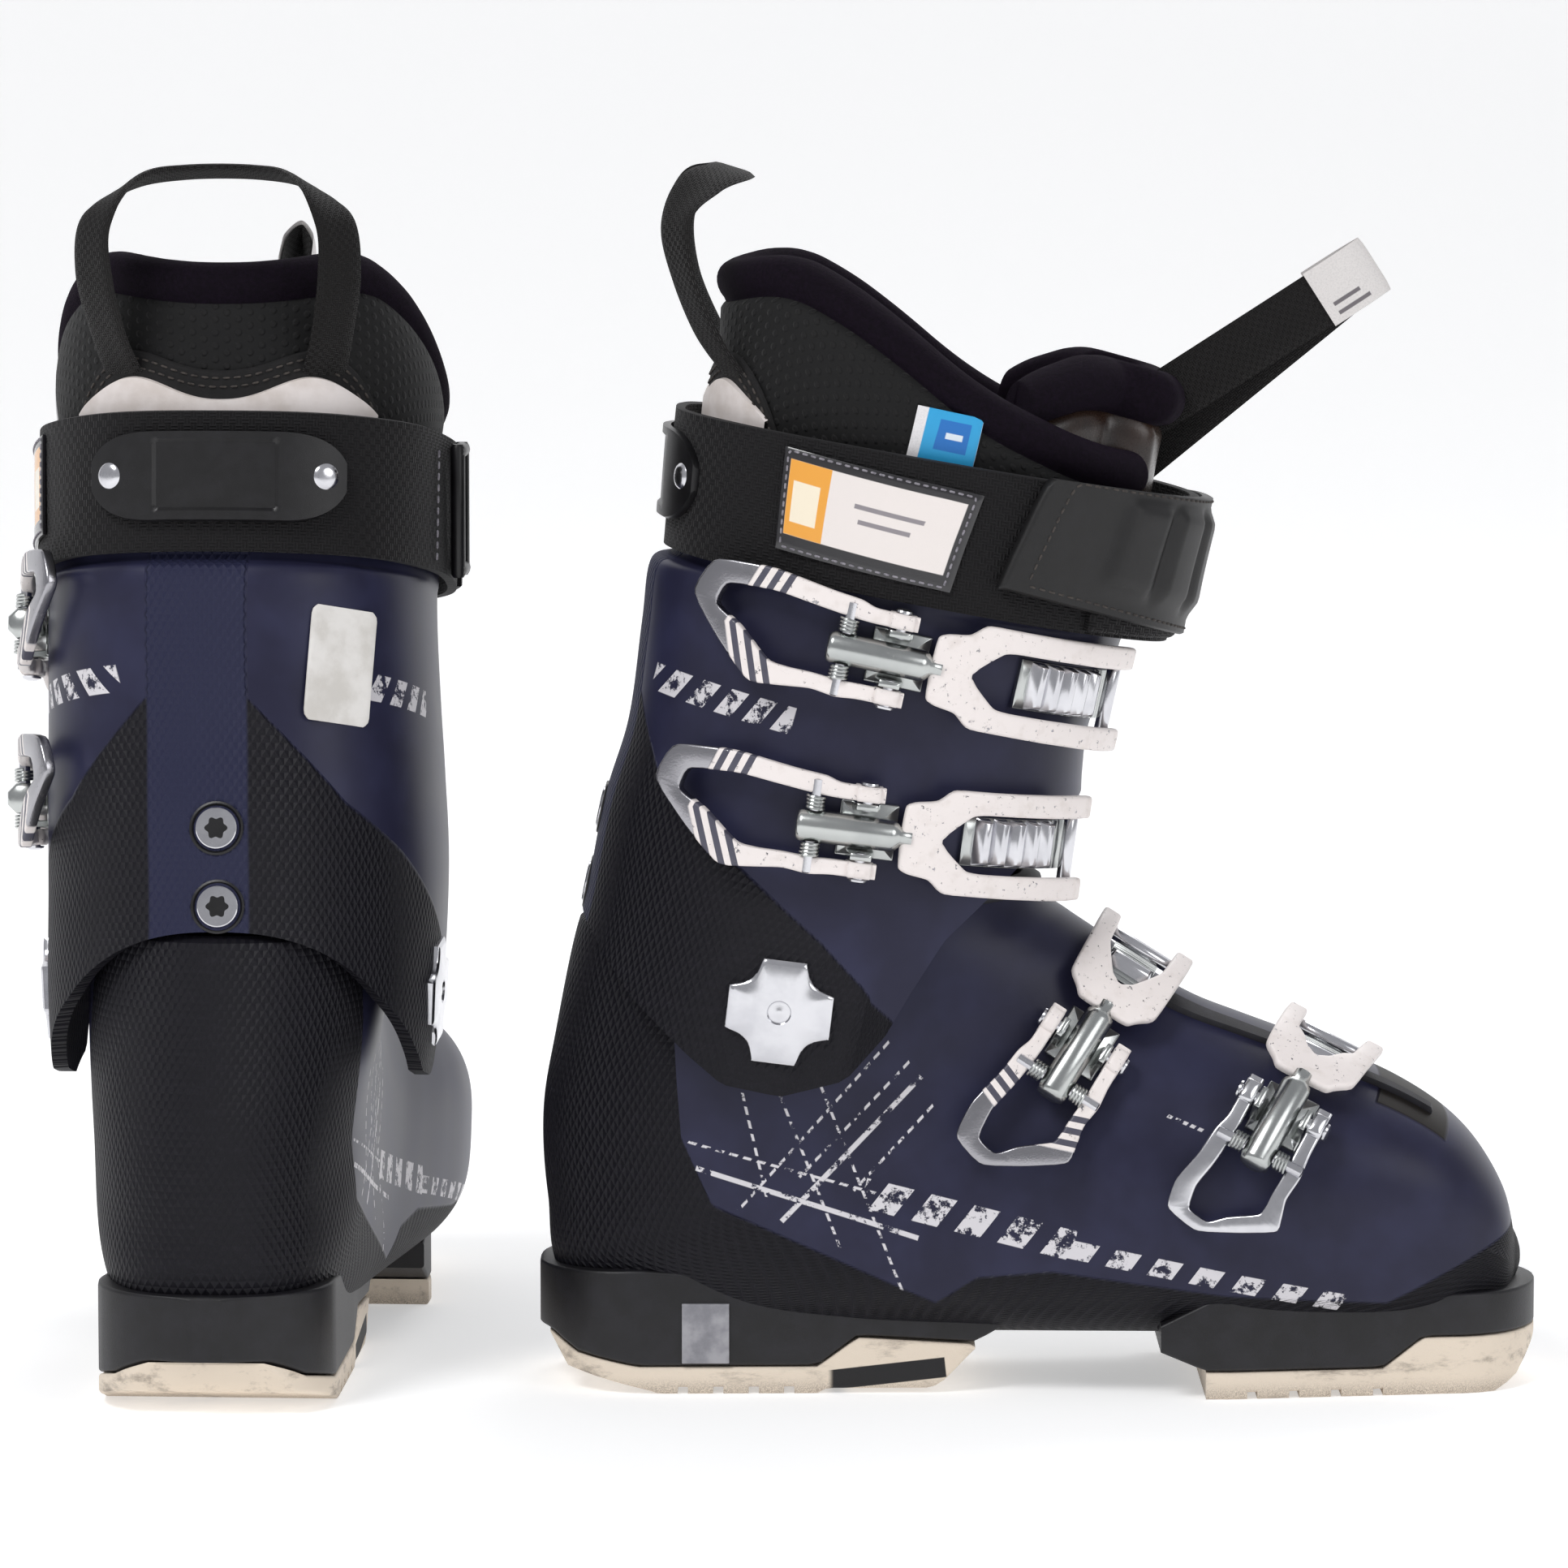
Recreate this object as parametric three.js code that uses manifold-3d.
// A pair of alpine ski boots. Millimetres, +Z up. The right boot points along +X and the left boot
// along +Y, and the origin is on the ground under the middle of the pair.
//
// Each boot is drawn in its own frame: +X to the toe, -Y to the lateral side, heel at x = 0.
// Its plastic and its inner boot are lofts: rings that run from a back point to a front point of
// the side view, with a half width, and they turn from level round the shaft to upright round the toe.
import * as THREE from 'three';
import Module from 'manifold-3d';
import { mergeVertices } from 'three/addons/utils/BufferGeometryUtils.js';

const wasm = await Module();
wasm.setup();

// Overall sizes. A boot maker grades the lengths, heights and widths of a last apart.
const SOLE_LENGTH = 298;
const CUFF_HEIGHT = 258;
const BALL_WIDTH = 101;
const LAST_LENGTH = 298;
const LAST_HEIGHT = 258;
const LAST_WIDTH = 101;

// Walls and clearances.
const SHELL_WALL = 5;
const CUFF_WALL = 4.5;
const LINER_WALL = 7;
const STRAP_THICKNESS = 3.2;
const SPOILER_THICKNESS = 2.6;
const CUFF_PLAY = 2.4;
const CLEARANCE = 0.4;

// Soles, to the norm for alpine boots.
const HEEL_WIDTH = 70;
const TOE_WIDTH = 69;
const SOLE_PAD = 8;
const LUG_HEIGHT = 36;
const TOE_LUG_HEIGHT = 30;
const TREAD_WIDTH = 3;
const TREAD_DEPTH = 2;

// Cuff pivots and spine screws.
const PIVOT_X = 72;
const PIVOT_Z = 117;
const PIVOT_PLATE = 31;
const PIVOT_THICKNESS = 2.4;
const PIVOT_STEM = 8;
const SCREW_HEAD = 12;
const SCREW_STEM = 6;
const SCREW_HEIGHTS = [148.5, 171];

// Buckles.
const PIN_RADIUS = 1.8;
const PIN_PLAY = 0.4;
const PIN_HEIGHT = 7.2;
const TRUNNION_BACK = 15;
const EAR_INSIDE = 6.4;
const EAR_THICKNESS = 2;
const ARM_INSIDE = 9;
const ARM_WIDTH = 4.4;
const LEVER_THICKNESS = 3.6;
const LOOP_WIDTH = 36;
const LOOP_RIM = 5.4;
const BARREL_WIDTH = 9.6;
const FRAME_WIDTH = 31;
const FRAME_THICKNESS = 3.4;
const FRAME_RISE = 6.4;
const TOOTH_WIDTH = 15;
const TOOTH_HEIGHT = 4.6;
const PLATE_THICKNESS = 1.4;

const BUCKLES = [
  { on: 'cuff', x: 104.9, z: 220.7, slope: -12.4, lever: 59, bail: 76, pitch: 5.6, teeth: 5 },
  { on: 'cuff', x: 96, z: 170.7, slope: -7.7, lever: 60, bail: 68, pitch: 5.6, teeth: 5 },
  { on: 'shell', x: 160.3, z: 103, slope: 58, lever: 45, bail: 41, pitch: 5.6, teeth: 1 },
  { on: 'shell', x: 219, z: 82.7, slope: 64, lever: 40, bail: 39, pitch: 5.6, teeth: 1 },
];

// Webbing loops and the strap's fittings.
const WEBBING = 2;
const HEEL_WEB_WIDTH = 14;
const TONGUE_WEB_WIDTH = 17;
const TONGUE_WEB_LENGTH = 82;
const TONGUE_GAP = 0.4;
const SPOILER_HALF_WIDTH = 42;
const BADGE_LENGTH = 58;
const BADGE_HEIGHT = 25;
const DRING_HEIGHT = 41;

// Where the boots stand.
const RIGHT_BOOT = [-75, 10];
const LEFT_BOOT = [-170, -66];
const LEFT_YAW = 86.5;

const RING_SIDES = 18;
const CUFF_TOP_ROW = 6;
const WIDE = 400;

const gx = (x) => x * SOLE_LENGTH / LAST_LENGTH;
const gy = (y) => y * BALL_WIDTH / LAST_WIDTH;
const gz = (z) => z * CUFF_HEIGHT / LAST_HEIGHT;

// One row a ring: back x, z; front x, z; half width; shift to the medial side; back power; front power.
const SHELL_ROWS = [
  [20, 152, 150, 168, 44, 3, 2.2, 2.2],
  [12, 137, 147, 156, 45, 3, 2.2, 2.2],
  [4.8, 103, 150, 146, 44.5, 2, 2.3, 2.2],
  [1.2, 80, 158, 140, 43, 1, 2.4, 2.2],
  [2.5, 55, 167, 134, 41, 0, 2.6, 2.2],
  [8, 30, 176, 127, 40, 0, 3, 2.2],
  [40, 17, 186, 120, 40, 0, 3.4, 2.2],
  [85, 16, 197, 114, 42, 0, 3.8, 2.2],
  [125, 16, 209.6, 109, 45, 1, 3.8, 2.2],
  [165, 16, 225, 103, 48.5, 2, 3.8, 2.3],
  [200, 16, 241, 96.5, 50.5, 3, 3.8, 2.4],
  [232, 16, 257, 89, 49, 4, 3.6, 2.6],
  [258, 16, 271, 80, 44, 4, 3.4, 2.8],
  [276, 17, 281, 70, 36.5, 4, 3, 2.8],
  [287, 20, 288.5, 57, 27, 4, 2.6, 2.6],
  [291.5, 28, 291.8, 44, 12, 4, 2.2, 2.2],
];
const CUFF_ROWS = [
  [-6, 84, 150, 92, 55, 3, 2.4, 2.2],
  [4, 112, 155, 122, 58, 3, 2.4, 2.2],
  [13.3, 142, 161, 158, 59, 3, 2.4, 2.2],
  [19.8, 174, 162, 182, 58.5, 2, 2.4, 2.3],
  [27, 198, 164, 197, 58, 1, 2.4, 2.3],
  [31, 227, 170, 211, 57.5, 0, 2.4, 2.3],
  [33.6, 245, 173, 221, 57, 0, 2.4, 2.3],
  [41, 249, 175.5, 226, 57, 0, 2.4, 2.3],
  [42.6, 264, 181, 242, 56.5, 0, 2.4, 2.3],
];
const LINER_ROWS = [
  [27, 136, 150, 150, 50, 3, 2.3, 2.3],
  [28, 160, 152, 168, 51, 3, 2.3, 2.3],
  [33.5, 195, 154, 195, 51.5, 1, 2.3, 2.3],
  [42.5, 232, 160, 219, 51, 0, 2.3, 2.3],
  [50, 247, 166, 228, 50, 0, 2.3, 2.3],
  [51, 264, 172, 241, 50, 0, 2.3, 2.3],
  [51.5, 286, 180, 256, 55, 0, 2.3, 2.3],
  [54, 308, 184, 276, 58, 0, 2.3, 2.3],
  [55, 330, 188, 296, 54, 0, 2.3, 2.3],
  [57, 352, 192, 316, 48, 0, 2.3, 2.3],
];
const STRAP_ROWS = [
  [37.2, 250.5, 187, 222, 62.3, 0, 2.4, 2.4],
  [38.8, 272, 191, 243, 62.6, 0, 2.4, 2.4],
  [40.4, 291, 196, 264, 62.8, 0, 2.4, 2.4],
];

function through(values, s) {
  const i = Math.max(0, Math.min(Math.floor(s), values.length - 2));
  const f = s - i;
  const near = (k) => values[Math.max(0, Math.min(values.length - 1, k))];
  const [a, b, c, d] = [near(i - 1), near(i), near(i + 1), near(i + 2)];
  return b + 0.5 * f * (c - a + f * (2 * a - 5 * b + 4 * c - d + f * (3 * (b - c) + d - a)));
}

// A skin turns a place along the rows and a turn round the ring into a point, grown by some depth.
function makeSkin(rows) {
  const graded = rows.map(([xb, zb, xf, zf, half, shift, back, front]) => [
    gx(xb), gz(zb), gx(xf), gz(zf), gy(half), gy(shift), back, front]);
  const column = (k) => graded.map((row) => row[k]);
  const columns = [0, 1, 2, 3, 4, 5, 6, 7].map(column);
  const skin = (s, turn, grow = 0) => {
    const [xb, zb, xf, zf, half, shift, back, front] = columns.map((values) => through(values, s));
    const reach = Math.hypot(xf - xb, zf - zb) / 2;
    const along = Math.cos(2 * Math.PI * turn);
    const aside = Math.sin(2 * Math.PI * turn);
    const power = 2 / (along < 0 ? back : front);
    const t = Math.sign(along) * Math.abs(along) ** power * (reach + grow) / reach;
    const y = shift - Math.sign(aside) * Math.abs(aside) ** power * (half + grow);
    return new THREE.Vector3((xb + xf) / 2 + t * (xf - xb) / 2, y, (zb + zf) / 2 + t * (zf - zb) / 2);
  };
  skin.last = rows.length - 1;
  return skin;
}

function solidOf(positions, triangles) {
  const vertProperties = new Float32Array(positions);
  const solidFor = (indices) => new wasm.Manifold(
    new wasm.Mesh({ numProp: 3, vertProperties, triVerts: new Uint32Array(indices) }));
  let solid = solidFor(triangles);
  if (solid.volume() < 0) {
    const flipped = [];
    for (let i = 0; i < triangles.length; i += 3) {
      flipped.push(triangles[i], triangles[i + 2], triangles[i + 1]);
    }
    solid = solidFor(flipped);
  }
  return solid;
}

function solidFrom(geometry) {
  geometry.deleteAttribute('normal');
  geometry.deleteAttribute('uv');
  const merged = mergeVertices(geometry, 1e-4);
  return solidOf(merged.attributes.position.array, merged.index.array);
}

function geometryOf(solid) {
  const mesh = solid.getMesh();
  const geometry = new THREE.BufferGeometry();
  geometry.setAttribute('position', new THREE.BufferAttribute(mesh.vertProperties, 3));
  geometry.setIndex(new THREE.BufferAttribute(mesh.triVerts, 1));
  geometry.computeVertexNormals();
  return geometry;
}

function ringSolid(rings) {
  const sides = rings[0].length;
  const positions = rings.flat().flatMap((p) => [p.x, p.y, p.z]);
  const triangles = [];
  for (let i = 0; i + 1 < rings.length; i += 1) {
    for (let j = 0; j < sides; j += 1) {
      const a = i * sides + j;
      const b = i * sides + (j + 1) % sides;
      triangles.push(a, b, b + sides, a, b + sides, a + sides);
    }
  }
  for (const [ring, turned] of [[0, false], [rings.length - 1, true]]) {
    const centre = rings[ring].reduce((sum, p) => sum.clone().add(p), new THREE.Vector3());
    centre.divideScalar(sides);
    const hub = positions.length / 3;
    positions.push(centre.x, centre.y, centre.z);
    for (let j = 0; j < sides; j += 1) {
      const a = ring * sides + j;
      const b = ring * sides + (j + 1) % sides;
      triangles.push(...(turned ? [hub, a, b] : [hub, b, a]));
    }
  }
  return solidOf(positions, triangles);
}

// A closed loft from one row to another, with a ring at each whole row between them.
function loft(skin, from, to, grow) {
  const places = [from];
  for (let s = Math.floor(from) + 1; s < to; s += 1) places.push(s);
  places.push(to);
  return ringSolid(places.map((s) => (
    Array.from({ length: RING_SIDES }, (_, j) => skin(s, j / RING_SIDES, grow)))));
}

const shapeOf = (points) => new THREE.Shape(points.map(([x, y]) => new THREE.Vector2(x, y)));
const graded = (points) => points.map(([x, z]) => [gx(x), gz(z)]);

// A side outline of x and z, as thick as asked, across the boot.
function sideBlock(points, width = WIDE) {
  const geometry = new THREE.ExtrudeGeometry(shapeOf(points), { depth: width, bevelEnabled: false });
  geometry.rotateX(Math.PI / 2);
  geometry.translate(0, width / 2, 0);
  return solidFrom(geometry);
}

function planBlock(points, low, high) {
  const geometry = new THREE.ExtrudeGeometry(shapeOf(points), { depth: high - low, bevelEnabled: false });
  geometry.translate(0, 0, low);
  return solidFrom(geometry);
}

function boxBlock(x0, x1, y0, y1, z0, z1) {
  const geometry = new THREE.BoxGeometry(x1 - x0, y1 - y0, z1 - z0);
  geometry.translate((x0 + x1) / 2, (y0 + y1) / 2, (z0 + z1) / 2);
  return solidFrom(geometry);
}

// The place on a skin that is nearest to a target, found by a grid that shrinks round the best place.
function nearest(skin, target, start) {
  const half = 4;
  let best = start;
  let [rows, turns] = [1, 0.06];
  for (let round = 0; round < 14; round += 1) {
    const [s, turn] = best;
    let least = Infinity;
    for (let i = -half; i <= half; i += 1) {
      for (let j = -half; j <= half; j += 1) {
        const row = Math.max(0, Math.min(skin.last, s + rows * i / half));
        const place = [row, turn + turns * j / half];
        const far = skin(...place).distanceToSquared(target);
        if (far < least) {
          least = far;
          best = place;
        }
      }
    }
    rows *= 0.4;
    turns *= 0.4;
  }
  return best;
}

function normalAt(skin, [s, turn]) {
  const step = 1e-3;
  const ds = skin(s + step, turn).sub(skin(s - step, turn));
  const dt = skin(s, turn + step).sub(skin(s, turn - step));
  const normal = ds.cross(dt).normalize();
  const outward = skin(s, turn, 1).sub(skin(s, turn, 0));
  return normal.dot(outward) < 0 ? normal.negate() : normal;
}

function startOn(skin, x, z) {
  let best = [0, 0];
  let least = Infinity;
  for (let s = 0; s <= skin.last; s += 0.25) {
    for (let turn = 0.01; turn < 0.5; turn += 0.02) {
      const p = skin(s, turn);
      const far = Math.hypot(p.x - x, p.z - z);
      if (far < least) {
        least = far;
        best = [s, turn];
      }
    }
  }
  for (let round = 0; round < 20; round += 1) {
    const p = skin(...best);
    best = nearest(skin, new THREE.Vector3(x, p.y, z), best);
  }
  return best;
}

// A line across a skin, in the plane through its start that holds the skin's normal and a heading.
function pathOn(skin, x, z, slope, back, ahead) {
  const start = startOn(skin, x, z);
  const normal = normalAt(skin, start);
  const angle = THREE.MathUtils.degToRad(slope);
  const heading = new THREE.Vector3(Math.cos(angle), 0, Math.sin(angle));
  const across = normal.clone().cross(heading).normalize();
  const stride = 4;
  const walk = (way, length) => {
    const frames = [];
    let spot = start;
    for (let run = 0; run <= length + stride; run += stride) {
      const up = normalAt(skin, spot);
      const tangent = across.clone().cross(up).normalize();
      const point = skin(...spot);
      frames.push({ run: way * run, point, ahead: tangent, up: tangent.clone().cross(across).normalize() });
      spot = nearest(skin, point.clone().addScaledVector(tangent, way * stride), spot);
    }
    return frames;
  };
  const frames = [...walk(-1, back).slice(1).reverse(), ...walk(1, ahead)];
  const at = (run) => {
    let i = frames.findIndex((frame) => frame.run > run) - 1;
    if (i < -1) i = frames.length - 2;
    i = Math.max(0, i);
    const [a, b] = [frames[i], frames[i + 1]];
    const f = (run - a.run) / (b.run - a.run);
    const up = a.up.clone().lerp(b.up, f).normalize();
    return {
      point: a.point.clone().lerp(b.point, f),
      up,
      ahead: across.clone().cross(up).normalize(),
      across,
    };
  };
  return { at, across };
}

// The straight line that touches a path where its run is 0.
function tangentTo(path) {
  const frame = path.at(0);
  return { at: (run) => ({ ...frame, point: frame.point.clone().addScaledVector(frame.ahead, run) }) };
}

// Places along a path: run along it, side across it, rise off the skin.
function onPath(path, run, side, rise) {
  const { point, up, across } = path.at(run);
  return point.clone().addScaledVector(up, rise).addScaledVector(across, side);
}

function splitLong(points, longest) {
  return points.flatMap(([x0, y0], i) => {
    const [x1, y1] = points[(i + 1) % points.length];
    const parts = Math.max(1, Math.ceil(Math.abs(x1 - x0) / longest));
    return Array.from(
      { length: parts }, (_, k) => [x0 + (x1 - x0) * k / parts, y0 + (y1 - y0) * k / parts]);
  });
}

// A flat plate of an outline in run and side, bent over the skin.
function bentPlate(path, outline, low, high, longest = WIDE) {
  const shape = shapeOf(splitLong(outline, longest));
  const geometry = new THREE.ExtrudeGeometry(shape, { depth: high - low, bevelEnabled: false });
  const places = geometry.attributes.position;
  for (let i = 0; i < places.count; i += 1) {
    const p = onPath(path, places.getX(i), places.getY(i), places.getZ(i) + low);
    places.setXYZ(i, p.x, p.y, p.z);
  }
  return solidFrom(geometry);
}

const oblong = (x0, x1, y0, y1) => [[x0, y0], [x1, y0], [x1, y1], [x0, y1]];
const mirrored = (half) => [...half, ...half.map(([x, y]) => [x, -y]).reverse()];

// A rod on a path: along the pins when across is true, else along the path.
function rodOn(path, run, side, rise, radius, length, across, sides = 8) {
  const geometry = new THREE.CylinderGeometry(radius, radius, length, sides);
  geometry.rotateY(Math.PI / sides);
  const frame = path.at(run);
  const basis = new THREE.Matrix4();
  if (across) {
    basis.makeBasis(frame.ahead, frame.across, frame.up.clone());
  } else {
    basis.makeBasis(frame.across.clone(), frame.ahead, frame.up.clone().negate());
  }
  geometry.applyMatrix4(basis);
  const centre = onPath(path, run, side, rise);
  geometry.translate(centre.x, centre.y, centre.z);
  return solidFrom(geometry);
}

const joined = (solids) => solids.reduce((whole, piece) => whole.add(piece));

const skins = {
  shell: makeSkin(SHELL_ROWS),
  cuff: makeSkin(CUFF_ROWS),
  liner: makeSkin(LINER_ROWS),
  strap: makeSkin(STRAP_ROWS),
};
const grown = {
  shell: loft(skins.shell, 0, skins.shell.last, CLEARANCE),
  cuff: loft(skins.cuff, 0, CUFF_TOP_ROW, CLEARANCE),
};

// ---------------------------------------------------------------- soles and lower shell

const HEEL_END = 83;
const TOE_START = 197.5;
const roundedEnd = (centre, radius, way, parts) => Array.from({ length: parts + 1 }, (_, i) => {
  const angle = Math.PI * (i / parts - 0.5);
  return [centre + way * radius * 0.8 * Math.cos(angle), radius * Math.sin(angle)];
});

function treads(from, to, count) {
  const pitch = (to - from) / count;
  return Array.from({ length: count }, (_, i) => {
    const x = from + pitch * (i + 0.5) - TREAD_WIDTH / 2;
    return [[x, 0], [x, TREAD_DEPTH], [x + TREAD_WIDTH, TREAD_DEPTH], [x + TREAD_WIDTH, 0]];
  }).flat();
}

const heelHalf = HEEL_WIDTH / 2;
const toeHalf = TOE_WIDTH / 2;
const heelBack = heelHalf * 0.8;
const heelPlan = [
  ...roundedEnd(heelBack, heelHalf, -1, 8),
  [gx(134), heelHalf * 0.94],
  [gx(134), -heelHalf * 0.94],
];
const ballHalf = gy(44);
const toePlan = [
  ...roundedEnd(SOLE_LENGTH - toeHalf * 0.8, toeHalf, 1, 8),
  [gx(205), ballHalf],
  [gx(196), ballHalf],
  [gx(196), -ballHalf],
  [gx(205), -ballHalf],
];
const heelLug = sideBlock([
  [0, 17], [0, LUG_HEIGHT - 1], [1, LUG_HEIGHT], [gx(30), LUG_HEIGHT + 1], [gx(134), 30], [gx(138), 20],
  [gx(130), 15 + CLEARANCE], [gx(95), 17 + CLEARANCE], [gx(HEEL_END), SOLE_PAD + CLEARANCE],
  [30, SOLE_PAD + CLEARANCE], [12, 12], [4, 17],
]).intersect(planBlock(heelPlan, 0, 60));
const heelSole = sideBlock([
  [3.4, 16.4], [9, 7], [33, 1], [36, 0], ...treads(38, gx(HEEL_END) - 3, 4), [gx(HEEL_END), 0],
  [gx(86), 1.5], [gx(117), 1.5], [gx(121), 4], [gx(130), 13.5], [gx(128), 14.6], [gx(95), 16.6],
  [gx(HEEL_END), SOLE_PAD], [30, SOLE_PAD], [12, 11.4],
]).intersect(planBlock(heelPlan, -5, 60));
const toeLug = sideBlock([
  [gx(184), 14], [gx(TOE_START), SOLE_PAD + CLEARANCE], [gx(250), SOLE_PAD + CLEARANCE],
  [SOLE_LENGTH - 36, 17 + CLEARANCE], [SOLE_LENGTH, 17 + CLEARANCE], [SOLE_LENGTH, TOE_LUG_HEIGHT],
  [gx(200), TOE_LUG_HEIGHT], [gx(184), 22],
]).intersect(planBlock(toePlan, 0, 60));
const toeSole = sideBlock([
  [gx(TOE_START), 0], ...treads(gx(205), gx(255), 4), [SOLE_LENGTH - 13, 0], [SOLE_LENGTH - 7, 4],
  [SOLE_LENGTH, 14], [SOLE_LENGTH, 17], [SOLE_LENGTH - 36, 17], [gx(250), SOLE_PAD], [gx(199), SOLE_PAD],
]).intersect(planBlock(toePlan, -5, 60));

const cuffEdge = sideBlock(graded([
  [-40, 142], [12.6, 142], [28, 120], [45, 103.5], [55, 95], [72, 91.4], [91, 96], [103, 109.5],
  [109, 120], [120, 137], [132, 148], [162, 177], [240, 190], [240, 236], [181, 236], [43, 260],
  [-40, 260]]));

const aboveShell = (lower) => sideBlock(graded([
  [-60, 138 - lower], [60, 138 - lower], [110, 146 - lower], [150, 150 - lower], [280, 150 - lower],
  [280, 420], [-60, 420]]));
const pivotHole = (radius) => {
  const geometry = new THREE.CylinderGeometry(radius, radius, WIDE, 12);
  geometry.translate(gx(PIVOT_X), 0, gz(PIVOT_Z));
  return solidFrom(geometry);
};
const underLugs = sideBlock([
  [-20, -20], [-20, 17 + CLEARANCE], [4, 17], [12, 12], [30, SOLE_PAD + CLEARANCE],
  [gx(HEEL_END), SOLE_PAD + CLEARANCE], [gx(95), 17 + CLEARANCE], [gx(130), 15 + CLEARANCE], [gx(136), -20],
]);
const underToe = sideBlock([
  [gx(184), -20], [gx(TOE_START) - 1, SOLE_PAD + CLEARANCE], [gx(250), SOLE_PAD + CLEARANCE],
  [SOLE_LENGTH - 36, 17 + CLEARANCE], [SOLE_LENGTH + 30, 17 + CLEARANCE], [SOLE_LENGTH + 30, -20],
]);
const lowerShell = loft(skins.shell, 0, skins.shell.last, 0)
  .add(heelLug)
  .add(toeLug)
  .subtract(loft(skins.shell, -0.4, 13.3, -SHELL_WALL))
  .subtract(aboveShell(0))
  .subtract(underLugs)
  .subtract(underToe)
  .subtract(cuffEdge.subtract(loft(skins.cuff, 0, skins.cuff.last, -CUFF_WALL - CUFF_PLAY)))
  .subtract(pivotHole(PIVOT_STEM / 2 + PIN_PLAY));

const footPlay = 0.6;
const footOut = SHELL_WALL + footPlay;
const linerFoot = loft(skins.shell, 0, 12.9, -footOut)
  .subtract(loft(skins.shell, -0.4, 12.5, -footOut - LINER_WALL))
  .subtract(aboveShell(2))
  .subtract(pivotHole(PIVOT_STEM / 2 + 3));

// ---------------------------------------------------------------- cuff and what it carries

function lobed(size, parts) {
  return Array.from({ length: parts }, (_, i) => {
    const angle = 2 * Math.PI * i / parts;
    const radius = size / 2 * (0.9 - 0.1 * Math.cos(4 * angle + Math.PI));
    return [gx(PIVOT_X) + radius * Math.cos(angle + 0.25), gz(PIVOT_Z) + radius * Math.sin(angle + 0.25)];
  });
}
const pivotBlock = sideBlock(lobed(PIVOT_PLATE, 24));
const lateral = boxBlock(-WIDE, WIDE, -WIDE, 0, -WIDE, WIDE);
const pivotRecess = sideBlock(lobed(PIVOT_PLATE + 2, 24))
  .subtract(loft(skins.cuff, 0, CUFF_TOP_ROW, -PIVOT_THICKNESS + 0.8));

const screwRod = (radius, from, to) => joined(SCREW_HEIGHTS.map((height) => {
  const geometry = new THREE.CylinderGeometry(radius, radius, to - from, 12);
  geometry.rotateZ(Math.PI / 2);
  geometry.translate((from + to) / 2, gy(2), gz(height));
  return solidFrom(geometry);
}));
const spineIn = gx(29);
const cuff = loft(skins.cuff, 0, skins.cuff.last, 0)
  .subtract(loft(skins.cuff, -0.4, skins.cuff.last + 0.4, -CUFF_WALL))
  .intersect(cuffEdge)
  .subtract(pivotRecess)
  .subtract(pivotHole(PIVOT_STEM / 2 + PIN_PLAY))
  .subtract(screwRod(SCREW_STEM / 2 + PIN_PLAY, -20, spineIn));

const pivotSolid = pivotBlock
  .intersect(loft(skins.cuff, 0, CUFF_TOP_ROW, 1))
  .subtract(loft(skins.cuff, 0, CUFF_TOP_ROW, -PIVOT_THICKNESS + 0.8 + CLEARANCE))
  .add(pivotHole(PIVOT_STEM / 2).intersect(loft(skins.cuff, 0, CUFF_TOP_ROW, 0.5)));
const stemEnd = gy(38);
const pivotInside = boxBlock(-WIDE, WIDE, -stemEnd, stemEnd + gy(3), -WIDE, WIDE);
const pivots = {
  lateral: pivotSolid.subtract(pivotInside).intersect(lateral),
  medial: pivotSolid.subtract(pivotInside).subtract(lateral),
};

const nutPlate = loft(skins.cuff, 0, CUFF_TOP_ROW, -CUFF_WALL - CLEARANCE)
  .subtract(loft(skins.cuff, -0.3, CUFF_TOP_ROW + 0.3, -CUFF_WALL - CLEARANCE - 1.6))
  .intersect(boxBlock(-WIDE, gx(40), gy(-8), gy(12), gz(SCREW_HEIGHTS[0]) - 7, gz(SCREW_HEIGHTS[1]) + 7));
const spineScrews = screwRod(SCREW_HEAD / 2, -20, spineIn)
  .intersect(loft(skins.cuff, 0, CUFF_TOP_ROW, 2))
  .subtract(loft(skins.cuff, 0, CUFF_TOP_ROW, CLEARANCE))
  .add(screwRod(SCREW_STEM / 2, -20, spineIn)
    .intersect(loft(skins.cuff, 0, CUFF_TOP_ROW, 1))
    .subtract(loft(skins.cuff, 0, CUFF_TOP_ROW, -CUFF_WALL - CLEARANCE - 1)))
  .add(nutPlate);

const linerTop = sideBlock(graded([
  [-60, 330], [50, 333], [69, 339], [84, 333], [106, 319], [130, 299], [166, 280], [240, 262],
  [240, 460], [-60, 460]]));
const linerBelow = sideBlock(graded([
  [-60, -20], [280, -20], [280, 172], [170, 166], [120, 156], [60, 144], [-60, 142]]));
const tongueHalf = gy(26);
const throat = (half) => boxBlock(gx(110), gx(280), -half, half, -WIDE, 2 * WIDE);
const linerBody = loft(skins.liner, 0, skins.liner.last, 0)
  .subtract(loft(skins.liner, -0.4, skins.liner.last + 0.4, -LINER_WALL));
const liner = linerBody
  .subtract(throat(tongueHalf + TONGUE_GAP))
  .subtract(linerTop)
  .subtract(linerBelow);

const strap = loft(skins.strap, 0, 2, 0).subtract(loft(skins.strap, -0.3, 2.3, -STRAP_THICKNESS));
const dringFoot = gz(258) - DRING_HEIGHT / 2;
const dring = boxBlock(gx(100), gx(112), gy(62.6) - 3, gy(62.6) + 6, dringFoot, dringFoot + DRING_HEIGHT)
  .subtract(loft(skins.strap, -0.4, 2.4, -STRAP_THICKNESS + 1));
const powerStrap = strap.add(dring);

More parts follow.
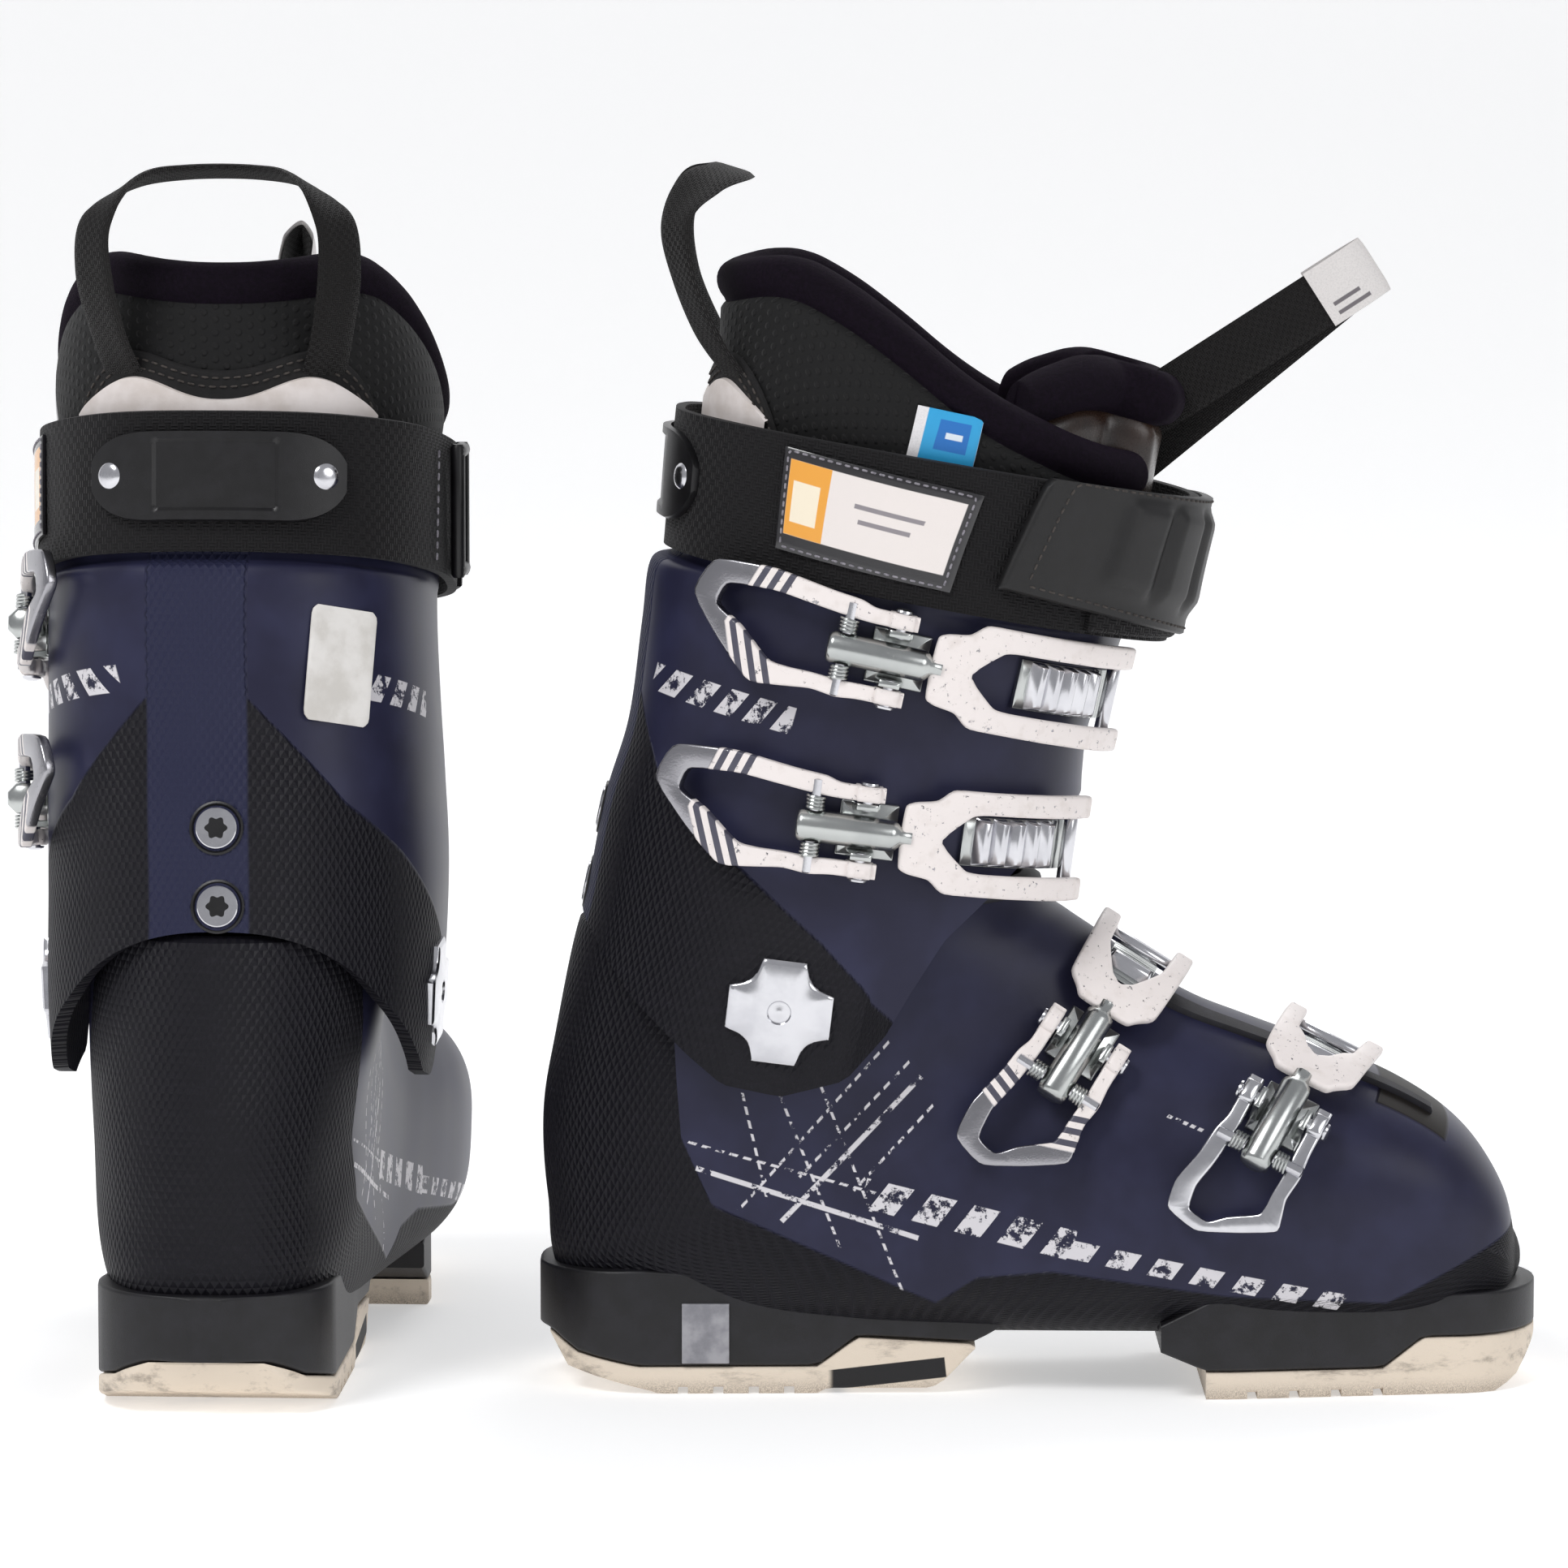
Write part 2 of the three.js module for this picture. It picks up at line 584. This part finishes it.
const badgeFoot = gz(271) - BADGE_HEIGHT / 2;
const badgeBlock = boxBlock(
  -WIDE, gx(70), -BADGE_LENGTH / 2, BADGE_LENGTH / 2, badgeFoot, badgeFoot + BADGE_HEIGHT);
const strapBadge = loft(skins.strap, 0, 2, CLEARANCE + 2)
  .subtract(loft(skins.strap, -0.3, 2.3, CLEARANCE))
  .intersect(badgeBlock);

const spoilerBlock = sideBlock(graded([[-20, 236], [72, 228], [69, 286], [58, 298], [-20, 299]]))
  .intersect(boxBlock(-WIDE, WIDE, -gy(SPOILER_HALF_WIDTH), gy(SPOILER_HALF_WIDTH), 0, WIDE));
const spoiler = loft(skins.liner, 1, 8, CLEARANCE + SPOILER_THICKNESS)
  .subtract(loft(skins.liner, 0.8, 8.2, CLEARANCE))
  .intersect(spoilerBlock);

// ---------------------------------------------------------------- webbing

// A flat band along points; each point carries the way its width runs.
function band(points, widths, width, thickness, steps) {
  const route = new THREE.CatmullRomCurve3(points);
  const facing = new THREE.CatmullRomCurve3(widths);
  const rings = Array.from({ length: steps + 1 }, (_, i) => {
    const at = route.getPoint(i / steps);
    const along = route.getTangent(i / steps);
    const side = facing.getPoint(i / steps);
    side.addScaledVector(along, -side.dot(along)).normalize();
    const out = along.clone().cross(side).normalize();
    return [[-1, -1], [1, -1], [1, 1], [-1, 1]].map(([w, t]) => at.clone()
      .addScaledVector(side, w * width / 2)
      .addScaledVector(out, t * thickness / 2));
  });
  return ringSolid(rings);
}
const vector = (x, y, z) => new THREE.Vector3(gx(x), gy(y), gz(z));

const heelHalfRoute = [
  [59, -29.5, 302], [51, -33, 313], [44, -36, 330], [42, -35, 346], [49, -25, 357], [57, -11, 360],
];
const heelHalfFacing = [
  [0.8, -0.6, 0], [0.8, -0.6, 0.1], [0.8, -0.5, 0.1], [0.9, -0.3, 0], [0.95, -0.1, -0.2], [1, 0, -0.2],
];
const otherSide = ([x, y, z]) => [x, -y, z];
const heelLoop = band(
  [...heelHalfRoute, ...heelHalfRoute.map(otherSide).reverse()].map((p) => vector(...p)),
  [...heelHalfFacing, ...heelHalfFacing.map(otherSide).reverse()].map((p) => new THREE.Vector3(...p)),
  HEEL_WEB_WIDTH,
  WEBBING,
  26,
).subtract(loft(skins.liner, 1, skins.liner.last, CLEARANCE));

const tongueSkinDepth = 1;
const tongueBody = loft(skins.liner, 0, skins.liner.last, -tongueSkinDepth)
  .subtract(loft(skins.liner, -0.4, skins.liner.last + 0.4, -tongueSkinDepth - LINER_WALL + 1))
  .intersect(throat(tongueHalf))
  .intersect(sideBlock(graded([
    [100, 168], [280, 176], [280, 286], [196, 290], [176, 303], [146, 300], [100, 270]])));
const webStart = vector(178, 0, 286);
const webWay = new THREE.Vector3(0.84, 0, 0.54).normalize();
const webEnd = webStart.clone().addScaledVector(webWay, TONGUE_WEB_LENGTH);
const webUp = new THREE.Vector3(-webWay.z, 0, webWay.x);
const webGap = 5;
const webHalf = (side) => [0, 0.2, 0.45, 0.75, 0.93].map((f) => webStart.clone()
  .addScaledVector(webWay, f * TONGUE_WEB_LENGTH)
  .add(new THREE.Vector3(0, side * webGap * Math.sqrt(1 - f * f * 0.6), 0)));
const webRoute = [...webHalf(-1), webEnd, ...webHalf(1).reverse()];
const pullLoop = band(webRoute, webRoute.map(() => webUp), TONGUE_WEB_WIDTH, WEBBING, 18);
const webRoot = boxBlock(gx(172), gx(184), -webGap - 1, webGap + 1, gz(277), gz(289));
const tongue = tongueBody.add(webRoot).add(pullLoop);

// ---------------------------------------------------------------- buckles

function makeBuckle({ on, x, z, slope, lever, bail, pitch, teeth }) {
  const skin = skins[on];
  const path = pathOn(skin, gx(x), gz(z), slope, lever + 4, bail + 10);
  const flat = tangentTo(path);
  const seat = grown[on];
  const armOut = ARM_INSIDE + ARM_WIDTH;
  const low = PIN_HEIGHT - LEVER_THICKNESS / 2;
  const high = PIN_HEIGHT + LEVER_THICKNESS / 2;
  const half = LOOP_WIDTH / 2;
  const stub = (side, radius, from, to) => rodOn(
    path, 0, side * (from + to) / 2, PIN_HEIGHT, radius, to - from, true);

  const earOut = EAR_INSIDE + EAR_THICKNESS;
  const ear = (side) => bentPlate(
    path, oblong(-4, 4, side * EAR_INSIDE, side * earOut), 0, PIN_HEIGHT + 2.4);
  const base = joined([
    bentPlate(path, oblong(-6, 8, -earOut, earOut), -2, CLEARANCE + PLATE_THICKNESS),
    ear(1),
    ear(-1),
    stub(1, PIN_RADIUS, EAR_INSIDE + 0.5, armOut + 0.8),
    stub(-1, PIN_RADIUS, EAR_INSIDE + 0.5, armOut + 0.8),
  ]).subtract(seat);

  const leverPlate = bentPlate(path, mirrored([
    [-lever, 0.01], [-lever, half * 0.42], [-lever + 10, half], [-lever + 22, half - 0.5],
    [-TRUNNION_BACK - 12, armOut], [5, armOut], [5, ARM_INSIDE], [-TRUNNION_BACK - 10, ARM_INSIDE],
    [-lever + 21, half - LOOP_RIM], [-lever + 12, half - LOOP_RIM], [-lever + LOOP_RIM, half * 0.3],
    [-lever + LOOP_RIM, 0.01]]).filter(([, side]) => Math.abs(side) > 0.1), low, high, 16);
  const knuckle = (side) => bentPlate(
    flat, oblong(-4.4, 4.4, side * (ARM_INSIDE - 0.3), side * (armOut + 0.3)),
    PIN_HEIGHT - 3.6, PIN_HEIGHT + 3.4);
  const leverSolid = joined([
    leverPlate,
    knuckle(1),
    knuckle(-1),
    rodOn(flat, -TRUNNION_BACK, 0, PIN_HEIGHT, PIN_RADIUS, 2 * ARM_INSIDE + 1, true),
  ]).subtract(stub(1, PIN_RADIUS + PIN_PLAY, ARM_INSIDE - 1, armOut + 2))
    .subtract(stub(-1, PIN_RADIUS + PIN_PLAY, ARM_INSIDE - 1, armOut + 2));

  const frameBack = 10;
  const frameHalf = FRAME_WIDTH / 2;
  const opening = frameHalf - 6;
  const barrel = rodOn(flat, -TRUNNION_BACK + 12, 0, PIN_HEIGHT, BARREL_WIDTH / 2, 34, false, 6);
  const frame = bentPlate(path, mirrored([
    [frameBack, frameHalf * 0.55], [frameBack + 4, frameHalf], [bail, frameHalf], [bail, opening],
    [frameBack + 20, opening], [frameBack + 12, opening * 0.45],
  ]), FRAME_RISE, FRAME_RISE + FRAME_THICKNESS, 10);
  const hook = bentPlate(
    path, oblong(bail - 4, bail, -opening - 1, opening + 1), PLATE_THICKNESS + 1.2, FRAME_RISE + 2);
  const bailSolid = joined([barrel, frame, hook])
    .subtract(rodOn(flat, -TRUNNION_BACK, 0, PIN_HEIGHT, PIN_RADIUS + PIN_PLAY, 30, true));

  const toothEnd = bail - 8.5;
  const ladderStart = toothEnd - teeth * pitch - 2;
  const toothHalf = TOOTH_WIDTH / 2 - 0.4;
  const tooth = (i) => bentPlate(
    path, oblong(toothEnd - (i + 1) * pitch + 1.8, toothEnd - i * pitch, -toothHalf, toothHalf),
    0.5, TOOTH_HEIGHT);
  const ladder = joined([
    bentPlate(
      path, oblong(ladderStart, bail + 3, -TOOTH_WIDTH / 2, TOOTH_WIDTH / 2),
      -2, CLEARANCE + PLATE_THICKNESS, 9),
    ...Array.from({ length: teeth }, (_, i) => tooth(i)),
  ]).subtract(seat);

  const frameAt = (run) => {
    const { ahead, up, across } = flat.at(run);
    return new THREE.Matrix4().makeBasis(ahead, across, up).setPosition(onPath(flat, run, 0, PIN_HEIGHT));
  };
  const pin = frameAt(0);
  const trunnion = frameAt(-TRUNNION_BACK);
  return { base, lever: leverSolid, bail: bailSolid, ladder, pin, trunnion };
}
const buckles = BUCKLES.map(makeBuckle);

// ---------------------------------------------------------------- the two boots

const finishes = {
  navy: { color: 0x2b2c4a, roughness: 0.45, metalness: 0 },
  cream: { color: 0xe8d9c6, roughness: 0.7, metalness: 0 },
  white: { color: 0xefe6e4, roughness: 0.5, metalness: 0 },
  steel: { color: 0xc8c8cc, roughness: 0.25, metalness: 1 },
  padding: { color: 0x1a1818, roughness: 0.9, metalness: 0 },
  webbing: { color: 0x16120f, roughness: 0.9, metalness: 0 },
};

function addPiece(group, name, solid, finish, frame = null) {
  const geometry = geometryOf(solid);
  const mesh = new THREE.Mesh(geometry, new THREE.MeshStandardMaterial(finishes[finish]));
  mesh.name = name;
  if (frame) {
    geometry.applyMatrix4(frame.clone().invert());
    mesh.applyMatrix4(frame);
  }
  group.add(mesh);
}

function makeBoot(side) {
  const boot = new THREE.Group();
  const add = (name, solid, finish, frame) => addPiece(boot, `${side}_${name}`, solid, finish, frame);
  const ankle = new THREE.Matrix4().makeTranslation(gx(PIVOT_X), 0, gz(PIVOT_Z));
  add('lower_shell', lowerShell, 'navy');
  add('heel_sole', heelSole, 'cream');
  add('toe_sole', toeSole, 'cream');
  add('liner_foot', linerFoot, 'padding');
  add('pivot_lateral', pivots.lateral, 'steel');
  add('pivot_medial', pivots.medial, 'steel');
  add('cuff', cuff, 'navy', ankle);
  add('spoiler', spoiler, 'white', ankle);
  add('spine_screws', spineScrews, 'steel', ankle);
  add('liner', liner, 'padding', ankle);
  add('tongue', tongue, 'padding', ankle);
  add('heel_loop', heelLoop, 'webbing', ankle);
  add('power_strap', powerStrap, 'webbing', ankle);
  add('strap_badge', strapBadge, 'webbing', ankle);
  buckles.forEach(({ base, lever, bail, ladder, pin, trunnion }, i) => {
    add(`buckle_${i + 1}_base`, base, 'steel');
    add(`buckle_${i + 1}_lever`, lever, 'white', pin);
    add(`buckle_${i + 1}_bail`, bail, 'white', trunnion);
    add(`buckle_${i + 1}_ladder`, ladder, 'steel');
  });
  return boot;
}

const right = makeBoot('right');
right.position.set(...RIGHT_BOOT, 0);
const left = makeBoot('left');
left.scale.y = -1;
left.rotation.z = THREE.MathUtils.degToRad(LEFT_YAW);
left.position.set(...LEFT_BOOT, 0);

const pair = new THREE.Group();
pair.add(right, left);
pair.updateMatrixWorld(true);
const bounds = new THREE.Box3().setFromObject(pair, true);
pair.position.set(-(bounds.min.x + bounds.max.x) / 2, -(bounds.min.y + bounds.max.y) / 2, -bounds.min.z);
pair.updateMatrixWorld(true);

export default pair;
